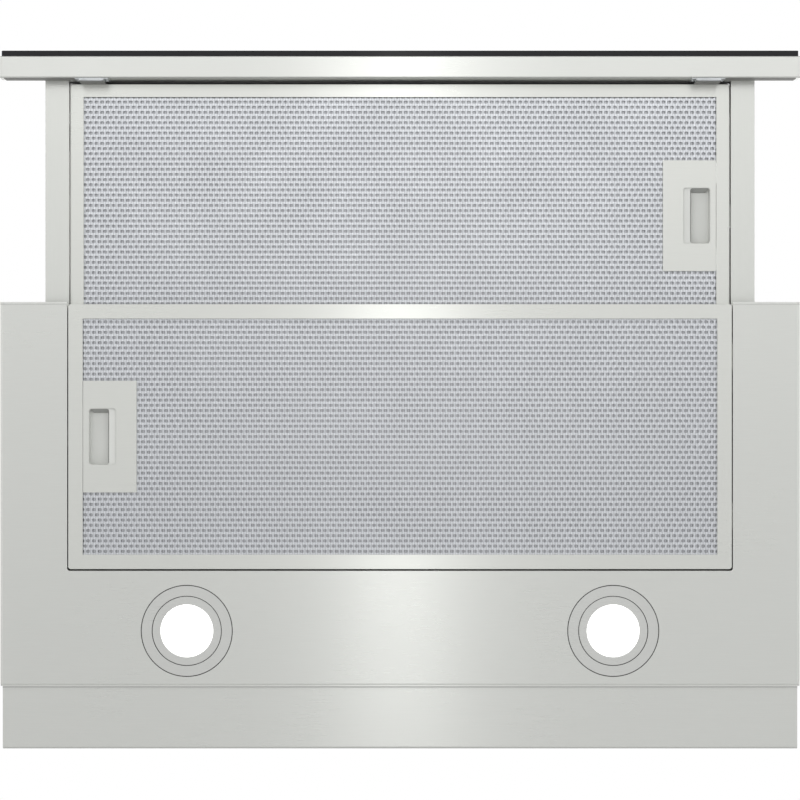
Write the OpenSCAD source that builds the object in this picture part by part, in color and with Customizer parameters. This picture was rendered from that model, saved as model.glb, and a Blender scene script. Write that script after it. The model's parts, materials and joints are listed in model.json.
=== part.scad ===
// Telescopic range hood that hangs under a kitchen wall cabinet.
// Millimetres. +Z is up, -Y is the front where the drawer pulls out.
// The origin is the centre of the four cabinet screw holes, on the top face of the housing.
// The drawer is drawn pulled out to its stop, as in use.

/* [Housing] */
// Width of the hood across the cabinet
body_w = 598; // [590:2:620]
// Depth of the housing from its front edge to its rear wall
body_d = 286; // [284:1:300]
// Height of the housing below the cabinet
body_h = 43; // [41:1:50]
// Thickness of the folded steel sheet
sheet_t = 1.2; // [0.8:0.1:1.5]
// Outside radius of the folded edges
fold_r = 2; // [1.7:0.1:3]
// Height of the turned-up flange round the filter opening
lip_h = 7; // [6:0.5:7]
// Corner radius of the filter opening
opening_r = 2; // [1:0.5:3]
// Distance of the cabinet screws from the sides of the hood
screw_side = 29; // [20:1:30]
// Distance between the cabinet screws front to back
screw_pitch_y = 224; // [200:4:240]
// Radius of the threaded cabinet screw holes
screw_hole_r = 2.1; // [1.6:0.1:2.6]

/* [Upper casing] */
// Distance of the casing's sides from the sides of the hood
casing_side = 47; // [44:1:59]
// Distance of the casing's front wall behind the housing's front edge
casing_front = 17; // [16:1:26]
// Distance of the casing's rear wall in front of the housing's rear wall
casing_back = 7; // [5:1:13]
// Height of the casing above the cabinet floor
casing_h = 132; // [130:1:150]
// Radius of the casing's upright corners
casing_r = 6; // [3:0.5:10]
// Width of the rim of the top plate round its air opening
rim_w = 14; // [11:1:18]

/* [Outlet] */
// Outside radius of the outlet collar
collar_r = 60; // [58:0.5:62]
// Wall of the outlet collar
collar_t = 2; // [1.5:0.1:2.5]
// Height of the collar above the casing
collar_h = 48; // [42:1:60]
// Height of the flap pin above the casing
flap_z = 14; // [10:1:20]
// Thickness of the non-return flaps
flap_t = 1; // [0.8:0.1:1.4]
// Radius of the flap pin
flap_pin_r = 1.4; // [1.2:0.1:1.6]

/* [Blower] */
// Outside radius of the impeller
impeller_r = 52; // [50:0.5:53]
// Radial depth of the impeller blades
blade_depth = 9.5; // [8:0.5:10]
// Number of impeller blades
blade_count = 30; // [24:1:36]
// Thickness of an impeller blade
blade_t = 1; // [0.8:0.1:1.3]
// Half of the impeller's length
impeller_half = 57; // [50:1:58]
// Running gap between the impeller and the scroll
scroll_gap = 5; // [4:0.5:6]
// Growth of the scroll's radius from the tongue to the outlet
scroll_growth = 30; // [26:1:31]
// Wall of the scroll halves
scroll_t = 1.5; // [1.2:0.1:2]
// Distance of the blower's shaft in front of the outlet's centre
shaft_to_outlet = 57.7; // [54:0.5:60]
// Distance of the shaft below the top of the casing
shaft_drop = 72; // [71:0.5:74]
// Distance of the shaft in front of the screw pattern's centre
shaft_front = 35; // [30:1:39]
// Radius of the motor shaft
shaft_r = 4; // [3:0.5:5]
// Radius of the motor's can
motor_r = 32; // [28:0.5:34]
// Length of the motor's can
motor_l = 68; // [66:1:74]

/* [Filters] */
// Distance of both grease filters from the sides of the hood
filter_side = 51; // [50:0.5:59]
// Depth of the housing's underside behind the rear filter's frame
lamp_zone = 87.5; // [87:0.5:91.5]
// Thickness of a grease filter
filter_t = 9; // [8.5:0.1:9.5]
// Thickness of the aluminium frame and mesh sheet
frame_t = 0.8; // [0.6:0.1:1]
// Border of the rear filter's frame round its mesh
rear_border = 10.8; // [9:0.2:12]
// Border of the drawer filter's frame round its mesh
drawer_border = 9.6; // [9:0.2:12]
// Gap between a filter and the edges round it
filter_gap = 0.8; // [0.6:0.1:1.1]
// Gap behind the rear filter
rear_gap = 1.3; // [1:0.1:1.5]
// Pitch of the openings along a row of the mesh
mesh_pitch = 17; // [17:1:24]
// Distance between the rows of the mesh
mesh_row = 18; // [16:0.5:20]
// Width of the strands between the mesh openings
strand_w = 3; // [2.5:0.1:3.5]

/* [Filter latches] */
// Width of the latch cover, from the filter's border inwards
latch_w = 40; // [39:0.5:44]
// Length of the latch cover along the border
latch_l = 83.5; // [76:0.5:88]
// Width of the finger pocket
pocket_w = 20.2; // [19:0.1:22]
// Length of the finger pocket
pocket_l = 42; // [38:0.5:46]
// Corner radius of the finger pocket
pocket_r = 2; // [1:0.25:3]
// Width of the slider's ledge that the finger pushes
ledge_w = 5.3; // [4:0.1:6]
// Travel of a latch
latch_travel = 5; // [3:0.5:5.5]
// Width of the latch's nose
nose_w = 16; // [12:0.5:20]

/* [Drawer] */
// Travel of the drawer
drawer_travel = 165.6; // [150:0.2:167]
// Gap between the shut bar and the front of the housing
shut_gap = 3; // [3:0.1:5]
// Gap between the drawer filter and the rails beside it
rail_gap = 1.4; // [1:0.1:1.6]
// Width of a side rail
rail_w = 17.8; // [16:0.2:19]
// Height of the underside of the rails over the housing's underside
rail_lift = 12; // [11.5:0.25:13]
// Height of a rail's outer wall
rail_h = 20; // [18:0.5:21]
// Difference between the housing's depth and the length of the rails
rail_short = 40.4; // [38:0.2:61]
// Depth of the steel part of the front bar
bar_d = 16.2; // [14:0.2:22]
// Drop of the front bar below the housing
bar_drop = 2; // [1:0.25:4]
// Outside radius of the front bar's folds
bar_r = 1; // [0.7:0.1:1.2]
// Height of the bar's rear lip where it is cut away outside the rails
bar_lip = 12.5; // [10:0.5:13.5]
// Depth of the bar's top where it is cut away outside the rails
bar_brow = 10; // [8.5:0.5:11]
// Thickness of the glass on the bar
glass_t = 4; // [3:0.5:5]
// Thickness of an end cap of the bar
cap_t = 1.5; // [1:0.1:2.5]
// Distance of the pressed clips from the sides of the filters
clip_side = 17.4; // [13:0.2:48]
// Width of a pressed clip
clip_w = 25; // [22:0.5:28]

/* [Buttons] */
// Width of a push button
button_w = 14; // [12:0.5:15]
// Height of a push button
button_h = 8; // [6:0.5:9]
// Distance from one push button to the next
button_pitch = 22; // [19:0.5:24]
// Distance of the middle button from the side of the hood
button_side = 103; // [79:1:119]
// Travel of a push button
button_travel = 2; // [1:0.25:2.5]

/* [Lamps] */
// Distance of the lamps from the sides of the hood
lamp_side = 139.6; // [109:0.2:159]
// Distance of the lamps' centres from the housing's rear wall
lamp_inset = 41.3; // [40.5:0.1:44]
// Outside radius of the lamp bezel
bezel_r = 33.8; // [33:0.2:36]
// Dark gap all round a lamp bezel and all round its inner ring
lamp_gap = 0.45; // [0.3:0.05:0.6]
// Outside radius of the ring that holds the lens
ring_r = 25.7; // [25:0.1:27]
// Radius of the lens
lens_r = 19.4; // [17:0.1:21]

/* [Rear spacer] */
// Depth of the rear spacer
spacer_d = 47; // [30:1:60]
// Distance of the rear spacer's ends from the sides of the hood
spacer_side = 2; // [0:0.5:14]
// Height of the rear spacer
spacer_h = 40; // [36:0.5:41]

/* [Hidden] */
$fn = 48;

STEEL = "#d4d6d2";
GALVANISED = "#a9adb0";
ALUMINIUM = "#c3c7ca";
GLASS = "#1d1f21";
DARK_PLASTIC = "#3a3c3e";
PALE_PLASTIC = "#d9dbd8";

cut = 1;
rest_gap = 0.3;
clear = 0.2;
round_gap = 0.1;

front_y = -body_d / 2;
rear_y = body_d / 2;
floor_z = -body_h;
plate_top = -sheet_t;
plate_z = -2 * sheet_t;
wall_x = body_w / 2 - sheet_t;
casing_w = body_w - 2 * casing_side;
screw_pitch_x = body_w - 2 * screw_side;

filter_half = body_w / 2 - filter_side;
opening_half = filter_half + filter_gap;
filter_front = 0.5;
filter_l = body_d - filter_front - lamp_zone;
rear_filter_y0 = front_y + filter_front;
rear_filter_mid = rear_filter_y0 + filter_l / 2;
opening_rear = rear_filter_y0 + filter_l + rear_gap;

rail_z = floor_z + rail_lift;
rail_top = rail_z + rail_h;
rail_in = filter_half + rail_gap;
rail_out = rail_in + rail_w;
bar_rear = front_y - drawer_travel - shut_gap;
bar_front = bar_rear - bar_d;
bar_z = floor_z - bar_drop;
drawer_filter_y0 = bar_rear + 2.8;
drawer_filter_mid = drawer_filter_y0 + filter_l / 2;
rail_end = bar_rear + body_d - rail_short;

tab_t = 1;
tab_reach = 6;
tab_l = 20;
tab_spread = 60;

module span_box(lo, hi) {
    translate(lo) cube(hi - lo);
}

module mirrored(side) {
    if (side < 0) mirror([1, 0, 0]) children();
    else children();
}

module round_rect(lo, hi, r) {
    translate([lo.x + r, lo.y]) square([hi.x - lo.x - 2 * r, hi.y - lo.y]);
    translate([lo.x, lo.y + r]) square([hi.x - lo.x, hi.y - lo.y - 2 * r]);
    for (x = [lo.x + r, hi.x - r], y = [lo.y + r, hi.y - r])
        translate([x, y]) circle(r);
}

// Extrudes an outline drawn in X and Z along Y, from y0 to y1
module along_y(y0, y1) {
    translate([0, y1, 0]) rotate([90, 0, 0]) linear_extrude(y1 - y0) children();
}

// Extrudes an outline drawn in Y and Z along X, from x0 to x1
module along_x(x0, x1) {
    translate([x0, 0, 0]) rotate([90, 0, 90]) linear_extrude(x1 - x0) children();
}

module along_z(z0, z1) {
    translate([0, 0, z0]) linear_extrude(z1 - z0) children();
}

// Housing

lamp_x = body_w / 2 - lamp_side;
lamp_y = rear_y - lamp_inset;
neck_r = ring_r + 2.9;
lamp_hole_r = bezel_r + lamp_gap;
spacer_w = body_w - 2 * spacer_side;
spacer_screw_x = spacer_w / 3;
spacer_screw_z = floor_z / 2;
spacer_screw_r = 2;
spacer_screw_l = 8;
keeper_half = nose_w / 2 + 5;
flange_gap = 1;

module housing_outline() {
    difference() {
        round_rect([-body_w / 2, floor_z], [body_w / 2, 0], fold_r);
        round_rect([-wall_x, floor_z + sheet_t], [wall_x, -sheet_t], fold_r - sheet_t);
        translate([-casing_w / 2 - flange_gap, -fold_r])
            square([casing_w + 2 * flange_gap, fold_r + cut]);
    }
}

// Cutter that rounds a folded lower edge along X, where the wall faces +Y
module fold_cutter() {
    along_x(-body_w, body_w) difference() {
        translate([-fold_r, -cut]) square(fold_r + cut);
        translate([-fold_r, fold_r]) circle(fold_r);
    }
}

module filter_opening(grow) {
    round_rect(
        [-opening_half - grow, front_y - 20],
        [opening_half + grow, opening_rear + grow],
        opening_r + grow
    );
}

module housing() {
    color(STEEL) difference() {
        union() {
            difference() {
                union() {
                    along_y(front_y, rear_y - sheet_t) housing_outline();
                    along_y(rear_y - sheet_t, rear_y)
                        round_rect([-body_w / 2, floor_z], [body_w / 2, 0], fold_r);
                }
                along_z(floor_z - cut, floor_z + sheet_t + cut) filter_opening(0);
            }
            along_z(floor_z, floor_z + lip_h) intersection() {
                difference() {
                    filter_opening(sheet_t);
                    filter_opening(0);
                }
                translate([-body_w / 2, front_y]) square([body_w, body_d]);
            }
        }
        for (x = [-lamp_x, lamp_x])
            translate([x, lamp_y, floor_z - cut]) cylinder(r = lamp_hole_r, h = sheet_t + 2 * cut);
        for (x = [-0.5, 0.5] * screw_pitch_x, y = [-0.5, 0.5] * screw_pitch_y)
            translate([x, y, -sheet_t - cut]) cylinder(r = screw_hole_r, h = sheet_t + 2 * cut);
        for (x = [-spacer_screw_x, spacer_screw_x])
            translate([x, rear_y + cut, spacer_screw_z]) rotate([90, 0, 0])
                cylinder(r = spacer_screw_r + round_gap, h = sheet_t + 2 * cut);
        translate([0, rear_y, floor_z]) fold_cutter();
        // notch in the lip where the latch keeper stands
        span_box(
            [-opening_half - sheet_t - cut, rear_filter_mid - keeper_half - cut, floor_z + sheet_t],
            [-opening_half + cut, rear_filter_mid + keeper_half + cut, floor_z + lip_h + cut]
        );
    }
}

// Folded plate that closes the housing's top round the air opening and carries the casing

casing_y0 = front_y + casing_front;
casing_y1 = rear_y - casing_back;
plate_y0 = front_y + 2;
plate_x = body_w / 2 - fold_r - clear;
plate_lip = 5;
air_r = 5;
air_half = casing_w / 2 - rim_w;
casing_screw_r = 1.6;
casing_screw_inset = (rim_w + sheet_t) / 2;

function casing_screw_spots() = [
    for (x = [-1, 0, 1], y = [casing_y0 + casing_screw_inset, casing_y1 - casing_screw_inset])
        [x * (casing_w / 2 - casing_screw_inset - casing_r), y]
];

module air_opening(grow) {
    round_rect(
        [-air_half - grow, casing_y0 + rim_w - grow],
        [air_half + grow, casing_y1 - rim_w + grow],
        air_r + grow
    );
}

module top_plate() {
    color(GALVANISED) difference() {
        union() {
            span_box(
                [-plate_x, plate_y0, plate_z],
                [plate_x, rear_y - sheet_t - clear, plate_top]
            );
            span_box(
                [-opening_half, plate_y0, plate_z - plate_lip],
                [opening_half, plate_y0 + sheet_t, plate_top]
            );
            along_z(plate_z - plate_lip, plate_top) air_opening(0);
        }
        along_z(plate_z - plate_lip - cut, plate_top + cut) air_opening(-sheet_t);
        for (x = [-0.5, 0.5] * screw_pitch_x, y = [-0.5, 0.5] * screw_pitch_y)
            translate([x, y, plate_z - cut]) cylinder(r = 2 * screw_hole_r, h = sheet_t + 2 * cut);
        for (p = casing_screw_spots())
            translate([p.x, p.y, plate_z - cut])
                cylinder(r = casing_screw_r + round_gap, h = sheet_t + 2 * cut);
    }
}

// Upper casing with its outlet, and what is screwed to it

collar_y = shaft_to_outlet - shaft_front;
roof_z = casing_h - sheet_t;
gland_side = 46;
gland_back = 40;
gland_x = casing_w / 2 - gland_side;
gland_y = casing_y1 - gland_back;
gland_r = 8;
bead_w = 10;
bead_t = 1.8;
bead_end = 14;
clamp_z = casing_h / 2;
clamp_l = 40;
clamp_reach = 20;
clamp_screw_y = clamp_l / 4;
clamp_screw_r = 1.8;
clamp_mid_y = (casing_y0 + casing_y1) / 2;

module casing_outline(inset) {
    round_rect(
        [inset - casing_w / 2, casing_y0 + inset],
        [casing_w / 2 - inset, casing_y1 - inset],
        casing_r - inset
    );
}

module casing_beads(inset) {
    for (x = [-3, -1, 1, 3] * casing_w / 9)
        span_box(
            [x - bead_w / 2 + inset, casing_y0 - bead_t + inset, bead_end + inset],
            [x + bead_w / 2 - inset, casing_y1 + bead_t - inset, casing_h - bead_end - inset]
        );
}

module upper_casing() {
    color(GALVANISED) difference() {
        union() {
            along_z(plate_top, casing_h) casing_outline(0);
            // stiffening beads pressed into the front and rear walls
            casing_beads(0);
        }
        along_z(0, roof_z) casing_outline(sheet_t);
        casing_beads(sheet_t);
        along_z(plate_top - cut, cut) air_opening(0);
        translate([0, collar_y, roof_z - cut]) cylinder(r = bore_r, h = sheet_t + 2 * cut);
        translate([gland_x, gland_y, roof_z - cut])
            cylinder(r = gland_r + round_gap, h = sheet_t + 2 * cut);
        for (p = casing_screw_spots())
            translate([p.x, p.y, plate_top - cut])
                cylinder(r = casing_screw_r + round_gap, h = sheet_t + 2 * cut);
        for (side = [-1, 1], y = [-1, 1] * clamp_screw_y)
            translate([side * casing_w / 2, clamp_mid_y + y, clamp_z]) rotate([0, 90, 0])
                cylinder(r = clamp_screw_r + round_gap, h = 4 * sheet_t, center = true);
    }
}

module screw(r, l) {
    translate([0, 0, -l]) cylinder(r = r, h = l);
    difference() {
        cylinder(r = 1.9 * r, h = 1.1 * r);
        translate([0, 0, 0.6 * r]) cylinder(r = 0.9 * r, h = r, $fn = 6);
    }
}

module casing_screws() {
    color(GALVANISED) {
        for (p = casing_screw_spots())
            translate([p.x, p.y, 0]) screw(casing_screw_r, 7);
        for (side = [-1, 1], y = [-1, 1] * clamp_screw_y) mirrored(side)
            translate([casing_w / 2 + sheet_t, clamp_mid_y + y, clamp_z]) rotate([0, 90, 0])
                screw(clamp_screw_r, 6);
    }
}

// Bent bracket that grips the cabinet's side panel
module side_clamp(side) {
    z0 = clamp_z - clamp_l / 2;
    color(GALVANISED) mirrored(side) translate([casing_w / 2, clamp_mid_y, 0]) difference() {
        along_y(-clamp_l / 2, clamp_l / 2) polygon([
            [0, z0],
            [clamp_reach, z0],
            [clamp_reach + 5, z0 + clamp_l / 2],
            [clamp_reach + 5 - sheet_t, z0 + clamp_l / 2],
            [clamp_reach - sheet_t, z0 + sheet_t],
            [sheet_t, z0 + sheet_t],
            [sheet_t, z0 + clamp_l],
            [0, z0 + clamp_l]
        ]);
        for (y = [-1, 1] * clamp_screw_y)
            translate([sheet_t / 2, y, clamp_z]) rotate([0, 90, 0])
                cylinder(r = clamp_screw_r + round_gap, h = 2 * sheet_t, center = true);
        translate([clamp_reach, 0, z0 + clamp_l / 2]) cube([clamp_reach, 8, clamp_l / 2], center = true);
    }
}

module side_clamp_left() {
    side_clamp(-1);
}

module side_clamp_right() {
    side_clamp(1);
}

module cable_gland() {
    color(DARK_PLASTIC) translate([gland_x, gland_y, casing_h]) rotate_extrude() polygon([
        [4, -sheet_t - 6],
        [gland_r, -sheet_t - 6],
        [gland_r, 0],
        [gland_r + 4, 0],
        [gland_r + 4, 3],
        [gland_r - 1, 5],
        [gland_r - 1.6, 14],
        [5.4, 16],
        [4, 16]
    ]);
}

bore_r = collar_r - collar_t;
ledge_h = 1.5;
barrel_r = flap_pin_r + 1.3;
pin_z = casing_h + flap_z;
collar_foot = 14;
knuckle = (bore_r - 6) / 2;

module outlet_collar() {
    color(DARK_PLASTIC) difference() {
        translate([0, collar_y, 0]) {
            difference() {
                union() {
                    translate([0, 0, casing_h]) cylinder(r = collar_r, h = collar_h);
                    along_z(casing_h, casing_h + collar_t) round_rect(
                        [-collar_r - collar_foot, -collar_r - collar_foot / 2],
                        [collar_r + collar_foot, collar_r + collar_foot / 2],
                        10
                    );
                }
                translate([0, 0, casing_h - cut]) cylinder(r = bore_r, h = collar_h + 2 * cut);
            }
            // narrow ledge that the shut flaps come to rest on
            translate([0, 0, pin_z - flap_t / 2 - rest_gap - ledge_h]) difference() {
                cylinder(r = bore_r + collar_t / 2, h = ledge_h);
                translate([0, 0, -cut]) cylinder(r = bore_r - 3, h = ledge_h + 2 * cut);
            }
        }
        translate([-collar_r - cut, collar_y, pin_z]) rotate([0, 90, 0])
            cylinder(r = flap_pin_r + round_gap, h = 2 * (collar_r + cut));
    }
}

module flap_pin() {
    color(GALVANISED) translate([-collar_r, collar_y, pin_z]) rotate([0, 90, 0])
        cylinder(r = flap_pin_r, h = 2 * collar_r);
}

// Half disc with two hinge knuckles, drawn on the +Y side of the pin
module flap() {
    difference() {
        union() {
            along_z(-flap_t / 2, flap_t / 2) intersection() {
                circle(bore_r - 0.8);
                translate([-bore_r, barrel_r - 0.4]) square([2 * bore_r, bore_r]);
            }
            // pressed stiffening rib
            translate([-bore_r / 2, bore_r / 2, 0]) cube([bore_r, 4, flap_t / 2 + 1]);
            for (x = [-2, 0] * knuckle)
                translate([x + rest_gap, 0, 0]) {
                    rotate([0, 90, 0]) cylinder(r = barrel_r, h = knuckle - 2 * rest_gap);
                    translate([0, 0, -flap_t / 2])
                        cube([knuckle - 2 * rest_gap, barrel_r, flap_t]);
                }
        }
        translate([-bore_r, 0, 0]) rotate([0, 90, 0])
            cylinder(r = flap_pin_r + round_gap, h = 2 * bore_r);
        for (x = [-1, 1] * knuckle)
            translate([x - rest_gap, -barrel_r - rest_gap, -barrel_r - cut])
                cube([knuckle + 2 * rest_gap, 2 * (barrel_r + rest_gap), 2 * (barrel_r + cut)]);
    }
}

module flap_rear() {
    color(PALE_PLASTIC) translate([0, collar_y, pin_z]) flap();
}

module flap_front() {
    color(PALE_PLASTIC) translate([0, collar_y, pin_z]) rotate([0, 0, 180]) flap();
}

// Blower: a spiral scroll in two halves, drawn in Y and Z round the shaft

shaft_y = -shaft_front;
shaft_z = casing_h - shaft_drop;
tongue_a = 60;
scroll_start = impeller_r + scroll_gap;
scroll_end = scroll_start + scroll_growth;
plate_gap = 5.5;
scroll_half = impeller_half + plate_gap + scroll_t;
blade_in_r = impeller_r - blade_depth;
inlet_r = blade_in_r + 2;
duct_top = shaft_drop - sheet_t;
duct_mid = (scroll_end + scroll_start * cos(tongue_a)) / 2;
ear = 12;
ear_t = 2;

function spiral_r(a) = scroll_start + scroll_growth * (a - tongue_a) / (360 - tongue_a);

function scroll_outline(grow, top) = concat(
    [for (a = [tongue_a:10:360]) (spiral_r(a) + grow) * [cos(a), sin(a)]],
    [
        [scroll_end + grow, top],
        [scroll_start * cos(tongue_a) - grow, top]
    ]
);

// One half of the scroll, on the +X side of the split
module scroll_shell() {
    translate([0, shaft_y, shaft_z]) {
        difference() {
            union() {
                along_x(0, scroll_half) polygon(scroll_outline(scroll_t, duct_top));
                // rolled bead round the inlet
                translate([scroll_half, 0, 0]) rotate([0, 90, 0]) rotate_extrude()
                    translate([inlet_r + 1.5, 0.5]) circle(2);
            }
            along_x(-cut, scroll_half - scroll_t) polygon(scroll_outline(0, duct_top + cut));
            translate([scroll_half - 2 * scroll_t, 0, 0]) rotate([0, 90, 0])
                cylinder(r = inlet_r, h = 10);
        }
        // ear that hangs this half from the casing's roof
        span_box(
            [scroll_half - scroll_t, duct_mid - ear, duct_top - ear_t],
            [scroll_half + ear, duct_mid + ear, duct_top]
        );
    }
}

module scroll_right() {
    color(DARK_PLASTIC) scroll_shell();
}

module scroll_left() {
    color(DARK_PLASTIC) mirror([1, 0, 0]) scroll_shell();
}

// Impeller: a cage of forward-curved blades, with its drive disc inside

disc_t = 2;
ring_t = 2;
hub_r = shaft_r + 5;
hub_half = 12;
blade_lean = 16;
blade_steps = 4;
blade_root = 0.4;
disc_r = blade_in_r + blade_root - round_gap;

function blade_point(s, offset) =
    let (
        r = blade_in_r + blade_root + s * (blade_depth - 2 * blade_root),
        a = blade_lean * s * s + offset / r * 180 / PI
    )
    r * [cos(a), sin(a)];

function blade_outline() = concat(
    [for (i = [0:blade_steps]) blade_point(i / blade_steps, -blade_t / 2)],
    [for (i = [blade_steps:-1:0]) blade_point(i / blade_steps, blade_t / 2)]
);

module impeller() {
    color(GALVANISED) translate([0, shaft_y, shaft_z]) {
        for (x = [-impeller_half, impeller_half - ring_t])
            along_x(x, x + ring_t) difference() {
                circle(impeller_r);
                circle(blade_in_r);
            }
        for (i = [0:blade_count - 1])
            along_x(ring_t / 2 - impeller_half, impeller_half - ring_t / 2)
                rotate(i * 360 / blade_count) polygon(blade_outline());
    }
}

module impeller_disc() {
    color(GALVANISED) translate([0, shaft_y, shaft_z]) difference() {
        union() {
            along_x(-disc_t / 2, disc_t / 2) circle(disc_r);
            along_x(-hub_half, hub_half) circle(hub_r);
        }
        along_x(-hub_half - cut, hub_half + cut) circle(shaft_r + round_gap);
    }
}

motor_x1 = -hub_half - 2;
motor_x0 = motor_x1 - motor_l;

module motor_shaft() {
    color(GALVANISED) translate([0, shaft_y, shaft_z])
        along_x(motor_x0 - 6, hub_half + 2) circle(shaft_r);
}

module motor() {
    slot_count = 12;
    color(GALVANISED) translate([motor_x0, shaft_y, shaft_z]) rotate([0, 90, 0]) difference() {
        rotate_extrude() polygon([
            [shaft_r + round_gap, 0],
            [shaft_r + 6, 0],
            [shaft_r + 6, 4],
            [motor_r - 6, 4],
            [motor_r, 10],
            [motor_r, motor_l - 8],
            [motor_r - 6, motor_l - 3],
            [shaft_r + 6, motor_l - 3],
            [shaft_r + 6, motor_l],
            [shaft_r + round_gap, motor_l]
        ]);
        // cooling slots of the can
        for (i = [0:slot_count - 1])
            rotate(i * 360 / slot_count) translate([motor_r - 2.5, -2, 18])
                cube([5, 4, motor_l - 34]);
    }
}

// Three-armed spider that holds the motor in the left inlet
module motor_bracket() {
    arm_w = 10;
    arm_t = 2;
    arm_end = inlet_r + 12;
    bead_clear = 3;
    x0 = -scroll_half - bead_clear - arm_t;
    color(GALVANISED) translate([0, shaft_y, shaft_z]) difference() {
        union() {
            along_x(x0, x0 + arm_t) {
                circle(motor_r + 4);
                for (a = [90, 210, 330]) rotate(a) translate([0, -arm_w / 2])
                    square([arm_end, arm_w]);
            }
            along_x(x0, -scroll_half) for (a = [90, 210, 330])
                rotate(a) translate([arm_end - 6, -arm_w / 2]) square([6, arm_w]);
        }
        along_x(x0 - cut, -scroll_half + cut) circle(motor_r + round_gap);
    }
}

// Parts of the supply, under the casing's roof

control_w = 104;
control_l = 140;
control_h = 34;
control_wall = 2;
control_x = casing_w / 2 - control_w - 20;
control_y = casing_y0 + 26;

module control_box() {
    color(DARK_PLASTIC) translate([control_x, control_y, roof_z - control_h]) difference() {
        along_z(0, control_h) round_rect([0, 0], [control_w, control_l], 4);
        along_z(-cut, control_h - control_wall) round_rect(
            [control_wall, control_wall],
            [control_w - control_wall, control_l - control_wall],
            4 - control_wall
        );
        translate([control_w / 2, control_l + cut, control_h / 2]) rotate([90, 0, 0])
            cylinder(r = 6, h = control_wall + 2 * cut);
    }
}

module control_box_lid() {
    fit = control_wall + clear;
    color(PALE_PLASTIC) translate([control_x, control_y, roof_z - control_h]) {
        along_z(-control_wall, 0) round_rect([0, 0], [control_w, control_l], 4);
        along_z(-cut, 3) difference() {
            round_rect([fit, fit], [control_w - fit, control_l - fit], 2);
            round_rect([fit + 1.6, fit + 1.6], [control_w - fit - 1.6, control_l - fit - 1.6], 0.4);
        }
    }
}

module capacitor() {
    can_r = 17;
    can_h = 56;
    side = 70;
    front = 80;
    stud_r = 4;
    stud_l = 5;
    shoulder = 2;
    rim = 1;
    color(ALUMINIUM) translate([side - casing_w / 2, casing_y0 + front, roof_z]) rotate([180, 0, 0])
        rotate_extrude() polygon([
            [0, 0],
            [stud_r, 0],
            [stud_r, stud_l],
            [can_r - shoulder, stud_l],
            [can_r, stud_l + shoulder],
            [can_r, can_h - 3 * rim],
            [can_r + rim, can_h - 2 * rim],
            [can_r + rim, can_h],
            [can_r - rim, can_h],
            [can_r - rim, can_h - rim],
            [0, can_h - rim]
        ]);
}

// Drawer slides

rail_flange = 9.8;
glide_h = 2.8;
glide_w = 2.5;
glide_l = 20;
glide_play = 1;
flange_x = rail_out - rail_flange;
channel_out = rail_out - sheet_t - 0.6;
glide_out = channel_out - glide_play;
channel_x = flange_x - glide_w - rest_gap;
channel_foot = 12;
lip_low = rail_top - sheet_t - glide_h - clear;
lip_high = rail_top + glide_h + clear;
channel_y0 = plate_y0;
channel_y1 = rail_end + drawer_travel + 10;
stop_gap = 0.4;
glide_y0 = channel_y0 + sheet_t + stop_gap;

module slide_channel(side) {
    color(GALVANISED) mirrored(side) {
        along_y(channel_y0, channel_y1) {
            for (z = [lip_low - sheet_t, lip_high])
                translate([channel_x - sheet_t, z])
                    square([channel_out - channel_x + sheet_t, sheet_t]);
            translate([channel_x - sheet_t, lip_low - sheet_t])
                square([sheet_t, plate_z - lip_low + sheet_t]);
            translate([channel_x - channel_foot, plate_z - sheet_t])
                square([channel_foot, sheet_t]);
        }
        // tab at the front that stops the glides
        span_box(
            [channel_x - sheet_t / 2, channel_y0, lip_low - sheet_t / 2],
            [glide_out, channel_y0 + sheet_t, rail_top - sheet_t - stop_gap]
        );
    }
}

module slide_channel_left() {
    slide_channel(-1);
}

module slide_channel_right() {
    slide_channel(1);
}

module stop_bumpers() {
    y0 = rail_end + drawer_travel + stop_gap;
    nub_r = 2.8;
    nub_l = 3;
    color(DARK_PLASTIC) for (side = [-1, 1]) mirrored(side) {
        span_box(
            [channel_x, y0 + nub_l, lip_low],
            [glide_out, channel_y1, lip_high]
        );
        translate([(glide_out + channel_x) / 2, y0, (lip_low + lip_high) / 2])
            rotate([-90, 0, 0]) cylinder(r = nub_r, h = nub_l + sheet_t);
    }
}

module drawer_glides() {
    color(PALE_PLASTIC) for (side = [-1, 1], y = [glide_y0, rail_end - glide_l]) mirrored(side)
        along_y(y, y + glide_l) difference() {
            translate([flange_x - glide_w, lip_low + clear])
                square([glide_out - flange_x + glide_w, lip_high - lip_low - 2 * clear]);
            translate([flange_x, rail_top - sheet_t]) square([rail_flange, sheet_t]);
        }
}

// Drawer rails, closed by a folded tab at each end

module rail(side) {
    x0 = rail_in;
    color(STEEL) mirrored(side) difference() {
        union() {
            along_y(bar_rear, rail_end) {
                translate([x0, rail_z]) square([rail_w, sheet_t]);
                translate([x0, rail_z]) square([sheet_t, lip_h]);
                translate([rail_out - sheet_t, rail_z]) square([sheet_t, rail_h]);
                translate([flange_x, rail_top - sheet_t]) square([rail_flange, sheet_t]);
            }
            span_box([x0, bar_rear, rail_z], [rail_out, bar_rear + sheet_t, rail_top]);
            span_box([x0, rail_end - sheet_t, rail_z], [rail_out, rail_end, lip_low - 2 * sheet_t]);
        }
        // slot that the drawer latch's nose enters
        if (side > 0)
            span_box(
                [x0 - cut, drawer_filter_mid - nose_w / 2 - 0.5, rail_z + nose_z - 0.5],
                [x0 + sheet_t + cut, drawer_filter_mid + nose_w / 2 + 0.5, rail_z + lip_h + cut]
            );
    }
}

module rail_left() {
    rail(-1);
}

module rail_right() {
    rail(1);
}

cross_h = 8.5;
cross_d = 10;
cross_lift = 5;

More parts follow.
